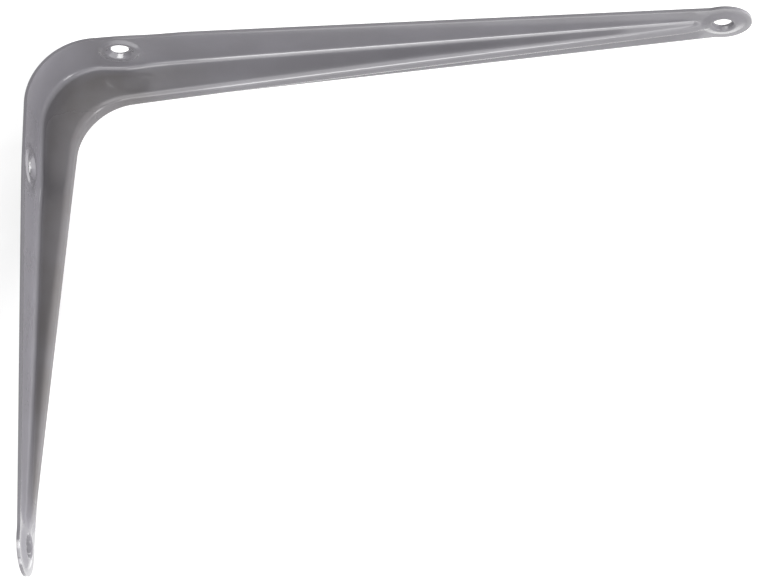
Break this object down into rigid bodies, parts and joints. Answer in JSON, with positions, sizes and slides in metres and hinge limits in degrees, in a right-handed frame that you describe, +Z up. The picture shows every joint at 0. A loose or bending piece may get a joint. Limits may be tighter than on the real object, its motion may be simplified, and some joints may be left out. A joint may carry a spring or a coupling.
{
  "type": "shelf bracket",
  "caption": "Pressed steel shelf bracket with two tapering legs at a right angle, a hollow rib along the middle and countersunk screw holes.",
  "frame": {"origin": "the corner, where the wall face and the shelf face meet, on the plane of symmetry", "axes": "+X away from the wall along the shelf leg, +Z up, so the wall leg hangs down -Z, and Y across the bracket"},
  "size_m": [0.2, 0.037, 0.15],
  "materials": {
    "enamel": "glossy grey enamel over pressed steel"
  },
  "bodies": {
    "root": {"bracket": "enamel"}
  },
  "joints": []
}
